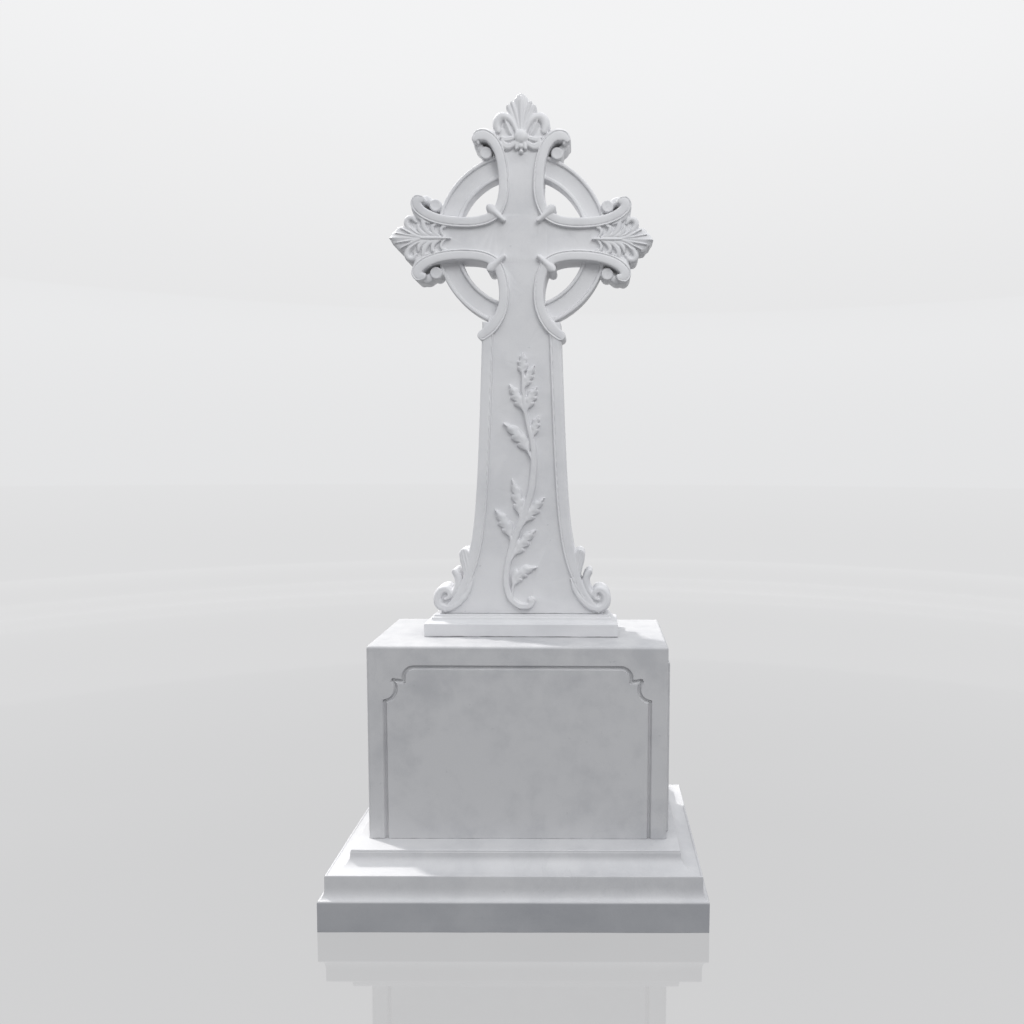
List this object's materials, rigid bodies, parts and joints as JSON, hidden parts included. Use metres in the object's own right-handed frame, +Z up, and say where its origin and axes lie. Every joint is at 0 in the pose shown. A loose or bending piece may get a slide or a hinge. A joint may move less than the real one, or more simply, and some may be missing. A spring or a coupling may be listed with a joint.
{
  "type": "celtic cross gravestone",
  "caption": "Marble memorial: a carved ringed cross with leaf finials and a climbing vine on a moulded foot, a panelled die and a stepped base.",
  "frame": {"origin": "middle of the base stone's underside", "axes": "+Z up, the carved front faces -Y, +X to the viewer's right when facing the front"},
  "size_m": [0.975, 0.665, 2.1283],
  "materials": {
    "marble_base": null,
    "marble_die": null,
    "marble_cross": null
  },
  "bodies": {
    "root": {"base": "marble_base", "die": "marble_die", "foot": "marble_cross", "cross": "marble_cross"}
  },
  "joints": []
}
